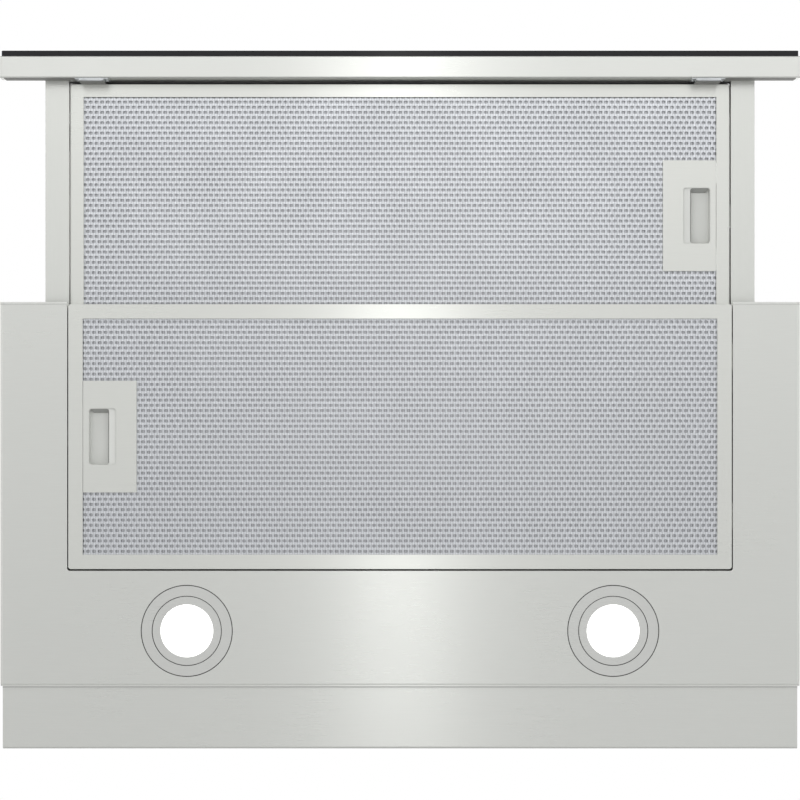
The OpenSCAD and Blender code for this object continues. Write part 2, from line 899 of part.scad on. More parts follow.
module rear_crossmember() {
    y0 = drawer_filter_y0 + filter_l + filter_gap;
    color(STEEL) along_x(-rail_in, rail_in) {
        translate([y0, rail_z]) square([cross_d, sheet_t]);
        translate([y0, rail_z]) square([sheet_t, cross_h]);
        translate([y0 + cross_d - sheet_t, rail_z]) square([sheet_t, cross_h]);
    }
}

module front_crossmember() {
    z0 = rail_z + cross_lift;
    z1 = z0 + 14;
    depth = 22;
    color(GALVANISED) along_x(-rail_in, rail_in) {
        translate([bar_rear, z0]) square([sheet_t, z1 - z0]);
        translate([bar_rear, z1 - sheet_t]) square([depth, sheet_t]);
        translate([bar_rear + depth - sheet_t, z1 - 4]) square([sheet_t, 4]);
    }
}

// Front bar, its glass and its buttons

bar_half = body_w / 2 - cap_t;
bar_step = rail_out;
button_z = bar_z / 2;
button_gap = 0.3;
button_lip = 1.5;
stem_r = 2;
stem_in = 3;
stem_play = 0.5;
module_set = 6.3;
module_end = 12;
module_half_h = 11;
module_y0 = bar_front + module_set;

button_x = body_w / 2 - button_side;

function button_xs() = [for (i = [-2:2]) button_x + i * button_pitch];

module button_window(grow) {
    round_rect(
        [-button_w / 2 - grow, button_z - button_h / 2 - grow],
        [button_w / 2 + grow, button_z + button_h / 2 + grow],
        2 + grow
    );
}

// Full section of the bar, which carries the rails
module bar_section(inset, r) {
    round_rect([bar_front + inset, bar_z + inset], [bar_rear - inset, -inset], r);
}

// Section outside the rails: a low tray, and a brow behind the glass
module bar_end_section(inset, r) {
    round_rect(
        [bar_front + inset, bar_z + inset],
        [bar_rear - inset, bar_z + bar_lip - inset],
        r
    );
    round_rect([bar_front + inset, bar_z + inset], [bar_front + bar_brow - inset, -inset], r);
}

module front_bar() {
    color(STEEL) difference() {
        union() {
            along_x(-bar_step, bar_step) bar_section(0, bar_r);
            along_x(-bar_half, bar_half) bar_end_section(0, bar_r);
        }
        along_x(sheet_t - bar_step, bar_step - sheet_t) bar_section(sheet_t, bar_r / 2);
        along_x(-bar_half - cut, bar_half + cut) bar_end_section(sheet_t, bar_r / 2);
        for (x = button_xs())
            translate([x, 0, 0]) along_y(bar_front - cut, bar_front + sheet_t + cut)
                button_window(button_gap);
    }
}

module front_glass() {
    edge = 0.5;
    color(GLASS) difference() {
        along_y(bar_front - glass_t, bar_front) round_rect(
            [1.2 - body_w / 2, bar_z + edge],
            [body_w / 2 - 1.2, -edge],
            2
        );
        for (x = button_xs())
            translate([x, 0, 0]) along_y(bar_front - glass_t - cut, bar_front + cut)
                button_window(button_gap);
    }
}

module bar_end_caps() {
    plug_l = 8;
    plug_t = 1.8;
    color(STEEL) for (side = [-1, 1]) mirrored(side) {
        along_x(bar_half, body_w / 2) bar_end_section(0, bar_r);
        along_x(bar_half - plug_l, bar_half) difference() {
            bar_end_section(sheet_t + clear, bar_r / 2);
            bar_end_section(sheet_t + clear + plug_t, bar_r / 2);
        }
    }
}

// Pressed clip on the rear face of the bar, with an ear and a small screw at each end
clip_x = filter_half - clip_side;

module bar_clip(side) {
    proud = 2.4;
    t = 0.8;
    crown = clip_w / 2 - 5;
    z0 = bar_z + 1;
    clip_h = 14;
    color(GALVANISED) mirrored(side) translate([clip_x, bar_rear, z0]) {
        linear_extrude(clip_h) polygon([
            [-clip_w / 2, 0],
            [-crown - 1.6, 0],
            [-crown, proud - t],
            [crown, proud - t],
            [crown + 1.6, 0],
            [clip_w / 2, 0],
            [clip_w / 2, t],
            [crown + 2, t],
            [crown + 0.4, proud],
            [-crown - 0.4, proud],
            [-crown - 2, t],
            [-clip_w / 2, t]
        ]);
        for (x = [-1, 1] * (clip_w / 2 - 1.7))
            translate([x, t, clip_h / 2]) rotate([-90, 0, 0]) cylinder(r = 1.2, h = 0.7);
    }
}

module bar_clip_left() {
    bar_clip(-1);
}

module bar_clip_right() {
    bar_clip(1);
}

module button(i) {
    color(PALE_PLASTIC) translate([button_xs()[i - 1], 0, 0]) {
        along_y(bar_front - glass_t, bar_front + sheet_t + rest_gap) button_window(0);
        along_y(bar_front + sheet_t + rest_gap, bar_front + sheet_t + rest_gap + 1.2)
            button_window(button_lip);
        translate([0, bar_front + sheet_t, button_z]) rotate([-90, 0, 0])
            cylinder(r = stem_r, h = module_y0 + stem_in - bar_front - sheet_t);
    }
}

module button_1() {
    button(1);
}

module button_2() {
    button(2);
}

module button_3() {
    button(3);
}

module button_4() {
    button(4);
}

module button_5() {
    button(5);
}

module button_module() {
    half_l = 2 * button_pitch + module_end;
    color(DARK_PLASTIC) difference() {
        span_box(
            [button_x - half_l, module_y0, button_z - module_half_h],
            [button_x + half_l, bar_rear - sheet_t - clear, button_z + module_half_h]
        );
        for (x = button_xs())
            translate([x, module_y0 - cut, button_z]) rotate([-90, 0, 0])
                cylinder(r = stem_r + rest_gap, h = cut + stem_in + button_travel + stem_play);
    }
}

// Switch that the right rail reaches when the drawer is shut

plunger_r = 1.5;
switch_x = rail_in + 6;
switch_z = rail_z + 8;
switch_y = rail_end + drawer_travel + rest_gap;
plunger_out = channel_y1 - switch_y + 1.5;

module drawer_switch() {
    color(DARK_PLASTIC) difference() {
        span_box(
            [switch_x - 5.4, switch_y + plunger_out, switch_z - 6],
            [switch_x + 5.4, switch_y + plunger_out + 14, plate_z]
        );
        translate([switch_x, switch_y + plunger_out - cut, switch_z]) rotate([-90, 0, 0])
            cylinder(r = plunger_r + rest_gap, h = 8);
    }
}

module switch_plunger() {
    color(PALE_PLASTIC) translate([switch_x, switch_y, switch_z]) rotate([-90, 0, 0])
        cylinder(r = plunger_r, h = plunger_out + 4);
}

// Grease filters. Each is drawn with its latch on the -X side, its front edge at y = 0
// and its underside at z = 0

nose_z = 2.8;
nose_h = 3.5;
tab_z = lip_h + rest_gap;
latch_in = 0.25;
slider_gap = 0.3;

module filter_frame(border) {
    difference() {
        union() {
            along_z(0, filter_t) round_rect([-filter_half, 0], [filter_half, filter_l], 2);
            for (y = [-1, 1] * tab_spread)
                span_box(
                    [filter_half - 2 * frame_t, filter_l / 2 + y - tab_l / 2, tab_z],
                    [filter_half + tab_reach, filter_l / 2 + y + tab_l / 2, tab_z + tab_t]
                );
        }
        span_box(
            [frame_t - filter_half, frame_t, frame_t],
            [filter_half - frame_t, filter_l - frame_t, filter_t - frame_t]
        );
        span_box(
            [border - filter_half, border, -cut],
            [filter_half - border, filter_l - border, filter_t + cut]
        );
        span_box(
            [-filter_half - cut, (filter_l - nose_w) / 2 - 0.5, nose_z - 0.5],
            [frame_t - filter_half + cut, (filter_l + nose_w) / 2 + 0.5, nose_z + nose_h + 0.5]
        );
    }
}

strand_fill = 1 - strand_w / (mesh_pitch * mesh_row / norm([mesh_pitch / 2, mesh_row]));

// Expanded sheet: staggered lozenge openings, kept clear of the border and of the latch cover
module filter_mesh(border) {
    half_w = strand_fill * mesh_pitch / 2;
    half_l = strand_fill * mesh_row;
    win_x = filter_half - border - half_w;
    win_y = filter_l / 2 - border - half_l;
    nx = floor(win_x / (mesh_pitch / 2));
    ny = floor(win_y / mesh_row);
    edge = frame_t + clear;
    cover_x = latch_w + border - filter_half + half_w + 1;
    cover_y = latch_l / 2 + half_l + 1;
    along_z(frame_t, 2 * frame_t) translate([0, filter_l / 2]) difference() {
        square([2 * (filter_half - edge), filter_l - 2 * edge], center = true);
        translate([-filter_half, -latch_l / 2 - clear])
            square([border + latch_in + latch_w + clear, latch_l + 2 * clear]);
        for (j = [-ny:ny], i = [-nx:nx])
            if (abs(i + j) % 2 == 0 && (i * mesh_pitch / 2 > cover_x || abs(j * mesh_row) > cover_y))
                translate([i * mesh_pitch / 2, j * mesh_row])
                    polygon([[-half_w, 0], [0, -half_l], [half_w, 0], [0, half_l]]);
    }
}

// Cover plate with the finger pocket and the two ribs that guide the slider
module latch_cover(border) {
    x0 = border + latch_in - filter_half;
    pocket_x0 = x0 + 4.4;
    color(ALUMINIUM) translate([0, filter_l / 2, 0]) difference() {
        union() {
            span_box([x0, -latch_l / 2, 0], [x0 + latch_w, latch_l / 2, frame_t]);
            for (y = [-latch_l / 2, latch_l / 2 - frame_t])
                span_box([x0, y, 0], [x0 + latch_w, y + frame_t, filter_t - frame_t]);
            span_box(
                [x0 + latch_w - frame_t, -latch_l / 2, 0],
                [x0 + latch_w, latch_l / 2, filter_t - frame_t]
            );
            for (side = [-1, 1])
                translate([x0, side * (slider_half + slider_gap + 0.6) - 0.6, 0])
                    cube([latch_w, 1.2, filter_t - 2]);
        }
        along_z(-cut, frame_t + cut) round_rect(
            [pocket_x0, -pocket_l / 2],
            [pocket_x0 + pocket_w, pocket_l / 2],
            pocket_r
        );
    }
}

slider_half = pocket_l / 2 + 2;

// Slider with a finger cup open below, a ledge to push, and the nose that goes through the frame
module latch_slider(border, nose_out) {
    x0 = border + latch_in - filter_half;
    cup_x0 = x0 + 4.4 + 0.2;
    cup_x1 = x0 + 4.4 + pocket_w - ledge_w;
    back = x0 + 4.4 + pocket_w + 3.5;
    z0 = frame_t + slider_gap;
    z1 = filter_t - frame_t - slider_gap;
    tip = -filter_half - nose_out;
    translate([0, filter_l / 2, 0]) difference() {
        union() {
            span_box([cup_x0 - latch_travel - 1, -slider_half, z0], [back, slider_half, z1]);
            along_y(-nose_w / 2, nose_w / 2) polygon([
                [tip, nose_z + 1.5],
                [tip + 1, nose_z],
                [cup_x0 - latch_travel, nose_z],
                [cup_x0 - latch_travel, nose_z + nose_h],
                [tip, nose_z + nose_h]
            ]);
        }
        along_z(z0 - cut, z1 - 1.2) round_rect(
            [cup_x0, -pocket_l / 2 + 0.2],
            [cup_x1, pocket_l / 2 - 0.2],
            pocket_r
        );
    }
}

module at_rear_filter() {
    translate([0, rear_filter_y0, floor_z]) children();
}

module at_drawer_filter() {
    translate([0, drawer_filter_y0, rail_z]) mirror([1, 0, 0]) children();
}

module rear_filter_frame() {
    color(ALUMINIUM) at_rear_filter() filter_frame(rear_border);
}

module rear_filter_mesh() {
    color(ALUMINIUM) at_rear_filter() filter_mesh(rear_border);
}

module rear_latch_cover() {
    color(ALUMINIUM) at_rear_filter() latch_cover(rear_border);
}

module rear_latch() {
    color(PALE_PLASTIC) at_rear_filter() latch_slider(rear_border, filter_gap - rest_gap);
}

module drawer_filter_frame() {
    color(ALUMINIUM) at_drawer_filter() filter_frame(drawer_border);
}

module drawer_filter_mesh() {
    color(ALUMINIUM) at_drawer_filter() filter_mesh(drawer_border);
}

module drawer_latch_cover() {
    color(ALUMINIUM) at_drawer_filter() latch_cover(drawer_border);
}

module drawer_latch() {
    color(PALE_PLASTIC) at_drawer_filter()
        latch_slider(drawer_border, rail_gap + sheet_t + 2);
}

// Folded keeper on the housing that faces the rear latch's nose
module latch_keeper() {
    foot = 16;
    z0 = floor_z + sheet_t;
    slot_half = nose_w / 2 + 0.5;
    color(GALVANISED) translate([0, rear_filter_mid, 0]) difference() {
        union() {
            span_box([-opening_half - foot, -keeper_half, z0], [-opening_half, keeper_half, z0 + 1]);
            span_box(
                [-opening_half - sheet_t, -keeper_half, z0],
                [-opening_half, keeper_half, floor_z + filter_t + 0.5]
            );
        }
        span_box(
            [-opening_half - sheet_t - cut, -slot_half, floor_z + nose_z - 0.5],
            [-opening_half + cut, slot_half, floor_z + nose_z + nose_h + 0.5]
        );
    }
}

// Lamps

bezel_lip = 2.6;
bezel_t = 1.4;
ring_wall = 1.5;
lens_seat = 1.6;
lens_t = 1.4;

module at_lamp(side) {
    translate([side * lamp_x, lamp_y, floor_z]) children();
}

module lamp_bezel(side) {
    color(STEEL) at_lamp(side) rotate_extrude() polygon([
        [ring_r + lamp_gap, 0],
        [bezel_r, 0],
        [bezel_r, sheet_t + clear],
        [bezel_r + bezel_lip, sheet_t + clear],
        [bezel_r + bezel_lip, sheet_t + bezel_t],
        [neck_r, sheet_t + bezel_t],
        [neck_r, 7],
        [ring_r + lamp_gap, 7]
    ]);
}

module lamp_ring(side) {
    color(STEEL) at_lamp(side) rotate_extrude() polygon([
        [lens_r + clear, 0.2],
        [lens_r + clear + 0.2, 0],
        [ring_r - 0.2, 0],
        [ring_r, 0.2],
        [ring_r, 6],
        [ring_r - ring_wall, 6],
        [ring_r - ring_wall, lens_seat],
        [lens_r + clear, lens_seat]
    ]);
}

module lamp_lens(side) {
    color("white") at_lamp(side) {
        translate([0, 0, lens_seat / 4]) cylinder(r = lens_r, h = lens_seat);
        translate([0, 0, lens_seat]) cylinder(r = lens_r + 3, h = lens_t);
    }
}

module lamp_bezel_left() {
    lamp_bezel(-1);
}

module lamp_bezel_right() {
    lamp_bezel(1);
}

module lamp_ring_left() {
    lamp_ring(-1);
}

module lamp_ring_right() {
    lamp_ring(1);
}

module lamp_lens_left() {
    lamp_lens(-1);
}

module lamp_lens_right() {
    lamp_lens(1);
}

// Finned heat sinks that hold the light sources
module lamp_bodies() {
    body_r = ring_r - ring_wall - clear;
    z0 = lens_seat + lens_t + clear;
    body_l = 16;
    fin_l = 10;
    fin_t = 2.4;
    fin_pitch = 6;
    gap = fin_pitch - fin_t;
    color(ALUMINIUM) for (side = [-1, 1]) at_lamp(side) difference() {
        translate([0, 0, z0]) cylinder(r = body_r, h = body_l);
        for (x = [-3:3])
            translate([x * fin_pitch - gap / 2, -body_r - cut, z0 + body_l - fin_l])
                cube([gap, 2 * (body_r + cut), fin_l + cut]);
    }
}

// Rear spacer: an open tray behind the housing

spacer_z = floor_z + 0.5;

module rear_spacer() {
    slot_l = 12;
    slot_r = spacer_screw_r + round_gap;
    color(STEEL) difference() {
        span_box(
            [-spacer_w / 2, rear_y, spacer_z],
            [spacer_w / 2, rear_y + spacer_d, spacer_z + spacer_h]
        );
        span_box(
            [sheet_t - spacer_w / 2, rear_y + sheet_t, spacer_z + sheet_t],
            [spacer_w / 2 - sheet_t, rear_y + spacer_d - sheet_t, spacer_z + spacer_h + cut]
        );
        translate([0, rear_y, spacer_z]) mirror([0, 1, 0]) fold_cutter();
        translate([0, rear_y + spacer_d, spacer_z]) fold_cutter();
        for (x = [-spacer_screw_x, spacer_screw_x])
            translate([x, 0, spacer_screw_z]) along_y(rear_y - cut, rear_y + sheet_t + cut) {
                square([slot_l - 2 * slot_r, 2 * slot_r], center = true);
                for (side = [-1, 1])
                    translate([side * (slot_l / 2 - slot_r), 0]) circle(slot_r);
            }
    }
}

module spacer_screws() {
    color(GALVANISED) for (x = [-spacer_screw_x, spacer_screw_x])
        translate([x, rear_y + sheet_t, spacer_screw_z]) rotate([-90, 0, 0])
            screw(spacer_screw_r, spacer_screw_l);
}

housing();
top_plate();
upper_casing();
outlet_collar();
flap_pin();
flap_front();
flap_rear();
scroll_left();
scroll_right();
motor();
motor_bracket();
motor_shaft();
impeller();
impeller_disc();
capacitor();
control_box();
control_box_lid();
cable_gland();
slide_channel_left();
slide_channel_right();
stop_bumpers();
drawer_switch();
switch_plunger();
latch_keeper();
lamp_bodies();
lamp_bezel_left();
lamp_bezel_right();
lamp_ring_left();
lamp_ring_right();
lamp_lens_left();
lamp_lens_right();
rear_spacer();
spacer_screws();
side_clamp_left();
side_clamp_right();
casing_screws();
front_bar();
front_glass();
bar_end_caps();
bar_clip_left();
bar_clip_right();
rail_left();
rail_right();
front_crossmember();
rear_crossmember();
drawer_glides();
drawer_filter_frame();
drawer_filter_mesh();
drawer_latch_cover();
drawer_latch();
rear_filter_frame();
rear_filter_mesh();
rear_latch_cover();
rear_latch();
button_module();
button_1();
button_2();
button_3();
button_4();
button_5();
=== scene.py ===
import json
import math
import random

import bpy
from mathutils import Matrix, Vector

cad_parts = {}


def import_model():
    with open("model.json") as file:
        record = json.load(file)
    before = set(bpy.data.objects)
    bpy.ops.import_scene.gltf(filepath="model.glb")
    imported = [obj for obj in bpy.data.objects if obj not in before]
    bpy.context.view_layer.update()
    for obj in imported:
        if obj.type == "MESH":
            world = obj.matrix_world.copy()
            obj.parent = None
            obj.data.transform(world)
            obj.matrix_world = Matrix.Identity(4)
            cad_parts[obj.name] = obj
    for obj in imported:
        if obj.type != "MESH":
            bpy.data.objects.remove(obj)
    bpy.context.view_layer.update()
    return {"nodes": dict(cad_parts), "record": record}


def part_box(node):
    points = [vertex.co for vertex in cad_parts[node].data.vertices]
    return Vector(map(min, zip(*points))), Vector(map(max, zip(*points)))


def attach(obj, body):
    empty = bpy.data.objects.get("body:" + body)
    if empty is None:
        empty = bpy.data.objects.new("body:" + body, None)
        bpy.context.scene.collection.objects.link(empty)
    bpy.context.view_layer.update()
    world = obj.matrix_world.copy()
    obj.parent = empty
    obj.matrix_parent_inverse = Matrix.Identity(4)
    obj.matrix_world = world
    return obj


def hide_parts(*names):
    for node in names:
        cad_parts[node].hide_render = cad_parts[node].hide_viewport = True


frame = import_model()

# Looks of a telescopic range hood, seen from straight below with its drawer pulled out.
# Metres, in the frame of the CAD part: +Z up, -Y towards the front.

MM = 0.001


# Nodes of a material

# Most of a noise lies between these two values
NOISE_LOW = 0.3
NOISE_HIGH = 0.7
BEVEL_SAMPLES = 4


def shader(name, base, roughness, metallic=0.0, **uniform):
    """A Principled material. A value that is the same all over is set on its own socket."""
    made = bpy.data.materials.new(name)
    made.use_nodes = True
    bsdf = made.node_tree.nodes["Principled BSDF"]
    bsdf.inputs["Base Color"].default_value = (*base, 1)
    bsdf.inputs["Roughness"].default_value = roughness
    bsdf.inputs["Metallic"].default_value = metallic
    for socket, value in uniform.items():
        bsdf.inputs[socket.replace("_", " ")].default_value = value
    return made, made.node_tree, bsdf


def add(tree, kind, sockets, **settings):
    """A new node with its settings, its values and its links."""
    node = tree.nodes.new(kind)
    for key, value in settings.items():
        setattr(node, key, value)
    for key, value in sockets.items():
        if isinstance(value, bpy.types.NodeSocket):
            tree.links.new(value, node.inputs[key])
        else:
            node.inputs[key].default_value = value
    return node


def compute(tree, operation, *values):
    """The result of a math node."""
    return add(tree, "ShaderNodeMath", dict(enumerate(values)), operation=operation).outputs[0]


def place(tree, stretch=(1, 1, 1)):
    """Position on the object in metres, stretched along each axis."""
    at = add(tree, "ShaderNodeTexCoord", {}).outputs["Object"]
    return add(tree, "ShaderNodeMapping", {"Vector": at, "Scale": stretch}).outputs["Vector"]


def noise(tree, scale, stretch=(1, 1, 1), detail=4.0):
    """Factor of a noise with about that many bumps per metre."""
    sockets = {"Vector": place(tree, stretch), "Scale": scale, "Detail": detail}
    return add(tree, "ShaderNodeTexNoise", sockets).outputs["Fac"]


def spread(tree, fac, low, high, start=NOISE_LOW, end=NOISE_HIGH):
    """A factor that runs from start to end, mapped to run from low to high."""
    sockets = {"Value": fac, "From Min": start, "From Max": end, "To Min": low, "To Max": high}
    return add(tree, "ShaderNodeMapRange", sockets).outputs["Result"]


def blend_colors(tree, fac, first, second):
    """Colour that runs from the first to the second by a factor."""
    node = tree.nodes.new("ShaderNodeMix")
    node.data_type = "RGBA"
    tree.links.new(fac, node.inputs["Factor"])
    node.inputs["A"].default_value = (*first, 1)
    node.inputs["B"].default_value = (*second, 1)
    return [o for o in node.outputs if o.type == "RGBA"][0]


def shade(color, factor):
    return tuple(c * factor for c in color)


def tint(tree, bsdf, fac, base, shades):
    """Base colour that runs between two shades of it, given as factors."""
    dark, light = shades
    color = blend_colors(tree, fac, shade(base, dark), shade(base, light))
    tree.links.new(color, bsdf.inputs["Base Color"])


def relief(tree, bsdf, height, distance, edge=0.0):
    """Bump of that depth in metres, over edges rounded to that radius."""
    sockets = {"Height": height, "Distance": distance, "Strength": 1.0}
    if edge:
        bevel = add(tree, "ShaderNodeBevel", {"Radius": edge}, samples=BEVEL_SAMPLES)
        sockets["Normal"] = bevel.outputs[0]
    bump = add(tree, "ShaderNodeBump", sockets)
    tree.links.new(bump.outputs["Normal"], bsdf.inputs["Normal"])


# Materials. Textures are given in bumps per metre, SHADES as factors of the base colour, and
# GLOSS as how far the roughness varies to both sides.

# Radius to which edges look rounded
SOFT_EDGE = 0.3 * MM

GRAIN_X = (0.02, 1, 1)
GRAIN_Y = (1, 0.02, 1)
BRUSH_LINES = 2600
BRUSH_CLOUDS = 9
BRUSH_SHADES = (0.985, 1.01)
BRUSH_DEPTH = 0.0006 * MM
LINE_GLOSS = 0.02
CLOUD_GLOSS = 0.015


def brushed(name, base, grain, roughness=0.3, anisotropic=0.88):
    """Brushed sheet: fine lines along the grain, faint clouds, highlights drawn across it."""
    made, tree, bsdf = shader(name, base, roughness, 1.0, Anisotropic=anisotropic)
    lines = noise(tree, BRUSH_LINES, grain, detail=3)
    clouds = noise(tree, BRUSH_CLOUDS, detail=2)
    tint(tree, bsdf, spread(tree, lines, 0, 1), base, BRUSH_SHADES)
    by_line = spread(tree, lines, -LINE_GLOSS, LINE_GLOSS)
    by_cloud = spread(tree, clouds, roughness - CLOUD_GLOSS, roughness + CLOUD_GLOSS)
    tree.links.new(compute(tree, "ADD", by_line, by_cloud), bsdf.inputs["Roughness"])
    relief(tree, bsdf, lines, BRUSH_DEPTH, SOFT_EDGE)
    across = (0, 1, 0) if grain == GRAIN_X else (1, 0, 0)
    axis = add(tree, "ShaderNodeCombineXYZ", dict(enumerate(across))).outputs[0]
    turned = add(tree, "ShaderNodeVectorTransform", {"Vector": axis}, vector_type="VECTOR",
                 convert_from="OBJECT", convert_to="WORLD").outputs[0]
    tree.links.new(turned, bsdf.inputs["Tangent"])
    return made


CRYSTALS = 190.0
CRYSTAL_SHADES = (0.82, 1.1)
ZINC_GRAIN = 700
ZINC_DEPTH = 0.01 * MM
ZINC_ROUGHNESS = 0.42
ZINC_GLOSS = 0.08


def galvanised(name, base):
    """Zinc coated sheet with its pattern of crystals."""
    made, tree, bsdf = shader(name, base, ZINC_ROUGHNESS, 1.0)
    cells = add(tree, "ShaderNodeTexVoronoi", {"Vector": place(tree), "Scale": CRYSTALS})
    grey = add(tree, "ShaderNodeSeparateColor", {"Color": cells.outputs["Color"]}).outputs[0]
    tint(tree, bsdf, grey, base, CRYSTAL_SHADES)
    rough = spread(tree, grey, ZINC_ROUGHNESS - ZINC_GLOSS, ZINC_ROUGHNESS + ZINC_GLOSS, 0, 1)
    tree.links.new(rough, bsdf.inputs["Roughness"])
    relief(tree, bsdf, noise(tree, ZINC_GRAIN), ZINC_DEPTH, SOFT_EDGE)
    return made


PLEAT = 1.91 * MM
PLEAT_DEPTH = 0.02 * MM
FOIL_CLOUDS = 25
FOIL_GLOSS = 0.03


def pleated(name, base, roughness, shades):
    """Foil in fine pleats that run from front to back, painted darker in their troughs and lighter
    on their crests as their shade and highlight.
    """
    made, tree, bsdf = shader(name, base, roughness, 1.0)
    x = add(tree, "ShaderNodeSeparateXYZ", {"Vector": place(tree)}).outputs["X"]
    pleats = compute(tree, "SINE", compute(tree, "MULTIPLY", x, 2 * math.pi / PLEAT))
    # Painted shade and highlight: the colour follows the height of the pleats
    tint(tree, bsdf, spread(tree, pleats, 0, 1, -1, 1), base, shades)
    rough = spread(tree, noise(tree, FOIL_CLOUDS), roughness - FOIL_GLOSS, roughness + FOIL_GLOSS)
    tree.links.new(rough, bsdf.inputs["Roughness"])
    relief(tree, bsdf, pleats, PLEAT_DEPTH)
    return made


MOULD_GRAIN = 1800
MOULD_CLOUDS = 30
MOULD_SHADES = (0.94, 1.05)
MOULD_DEPTH = 0.02 * MM
MOULD_GLOSS = 0.07


def moulded(name, base, roughness):
    """Plastic and other plain grey or black surfaces, with the fine texture of their surface."""
    made, tree, bsdf = shader(name, base, roughness)
    grain = noise(tree, MOULD_GRAIN, detail=2)
    tint(tree, bsdf, noise(tree, MOULD_CLOUDS), base, MOULD_SHADES)
    rough = spread(tree, grain, roughness - MOULD_GLOSS, roughness + MOULD_GLOSS)
    tree.links.new(rough, bsdf.inputs["Roughness"])
    relief(tree, bsdf, grain, MOULD_DEPTH, SOFT_EDGE)
    return made


GLASS = (0.012, 0.012, 0.014)
DUSTY_GLASS = (0.018, 0.018, 0.02)
GLASS_SPECULAR = 0.15
GLASS_ROUGHNESS = 0.1
DUST = 60
CLEAN_ROUGHNESS = 0.07
DUSTY_ROUGHNESS = 0.14


def glass_strip(name):
    """Opaque black glass with a little dust."""
    made, tree, bsdf = shader(name, GLASS, GLASS_ROUGHNESS, Specular_IOR_Level=GLASS_SPECULAR)
    dust = noise(tree, DUST)
    tree.links.new(spread(tree, dust, CLEAN_ROUGHNESS, DUSTY_ROUGHNESS), bsdf.inputs["Roughness"])
    tree.links.new(blend_colors(tree, dust, GLASS, DUSTY_GLASS), bsdf.inputs["Base Color"])
    return made


OPAL = (0.9, 0.9, 0.88)
OPAL_ROUGHNESS = 0.35
OPAL_GLOW = 1.2
FROST = 900
FROST_DEPTH = 0.02 * MM


def opal(name):
    """Frosted lens with the lamp lit behind it."""
    made, tree, bsdf = shader(name, OPAL, OPAL_ROUGHNESS,
                              Emission_Color=(1, 1, 1, 1), Emission_Strength=OPAL_GLOW)
    relief(tree, bsdf, noise(tree, FROST), FROST_DEPTH)
    return made


STEEL = (0.71, 0.72, 0.69)
RAIL_STEEL = (0.665, 0.675, 0.645)
LAMP_STEEL = (0.68, 0.687, 0.665)
HEM_HIGHLIGHT_STEEL = (0.78, 0.79, 0.76)
ZINC = (0.55, 0.57, 0.58)
ALUMINIUM = (0.725, 0.735, 0.70)
MESH_FOIL = (0.6, 0.615, 0.64)
SHADED_CORE_FOIL = (0.46, 0.47, 0.49)

steel = brushed("steel_brushed_across", STEEL, GRAIN_X)
rail_steel = brushed("steel_brushed_along", RAIL_STEEL, GRAIN_Y, roughness=0.45, anisotropic=0.3)
lamp_steel = brushed("lamp_steel", LAMP_STEEL, GRAIN_X)
# Lighter steel for the housing's front hem: painted highlight on its fold
hem_highlight_steel = brushed("steel_hem_highlight", HEM_HIGHLIGHT_STEEL, GRAIN_X)
filter_mesh = pleated("aluminium_mesh", MESH_FOIL, 0.38, shades=(0.9, 1.09))
# The core's foil is darker and its pleat tones wider: painted shade deep among the inner layers
shaded_filter_core = pleated("aluminium_core", SHADED_CORE_FOIL, 0.45, shades=(0.78, 1.15))
# Lighter copy of the pale plastic for the latch sliders: painted light against the shade in their
# finger cups
lit_latch_plastic = moulded("lit_latch_plastic", (0.71, 0.72, 0.69), 0.42)
# Darker grey for the front wall of the finger cups: painted shadow
cup_shadow_grey = moulded("cup_shadow_grey", (0.36, 0.365, 0.35), 0.5)
# Grey for the strips in the gaps beside the drawer filter: painted shade
gap_shade_grey = moulded("gap_shade_grey", (0.68, 0.68, 0.66), 0.8)
# Grey for thin lines at the spacer's joint and the housing's front fold: painted shadow lines
shadow_line_grey = moulded("shadow_line_grey", (0.38, 0.38, 0.37), 0.6)
# Dark grey for strips behind the bar, behind its clips and along the cups' ledges: painted shade
painted_shade_grey = moulded("painted_shade_grey", (0.2, 0.2, 0.19), 0.6)
# Black for the crossmember seen in the gap behind the bar: painted shade
gap_shade_black = moulded("gap_shade_black", (0.05, 0.05, 0.05), 0.45)

# What each material slot of the CAD looks like, and the nodes that look different
slots = {
    "brushed_steel": steel,
    "galvanised_steel": galvanised("zinc_sheet", ZINC),
    "aluminium": brushed("aluminium_frame", ALUMINIUM, GRAIN_X),
    "black_glass": glass_strip("black_glass"),
    "dark_plastic": moulded("dark_plastic", (0.045, 0.047, 0.05), 0.5),
    "pale_plastic": moulded("pale_plastic", (0.66, 0.67, 0.64), 0.42),
    "rubber": moulded("rubber", (0.02, 0.02, 0.02), 0.75),
    "lamp_lens": opal("lamp_lens"),
}
special = {
    "lamp_bezel_left": lamp_steel,
    "lamp_bezel_right": lamp_steel,
    "lamp_ring_left": lamp_steel,
    "lamp_ring_right": lamp_steel,
    # Sliders in the lighter plastic: painted light in their finger cups
    "drawer_latch": lit_latch_plastic,
    "rear_latch": lit_latch_plastic,
    "rail_left": rail_steel,
    "rail_right": rail_steel,
    # Black crossmember: painted shade in the gap behind the bar
    "front_crossmember": gap_shade_black,
}

for sub in frame["record"]["subparts"]:
    look = special.get(sub["node"], slots[sub["material_slot"]])
    for slot in frame["nodes"][sub["node"]].material_slots:
        slot.material = look


# Plain meshes

def mesh_object(name, verts, faces, made):
    data = bpy.data.meshes.new(name)
    data.from_pydata(verts, [], faces)
    data.materials.append(made)
    data.update()
    obj = bpy.data.objects.new(name, data)
    bpy.context.scene.collection.objects.link(obj)
    return obj


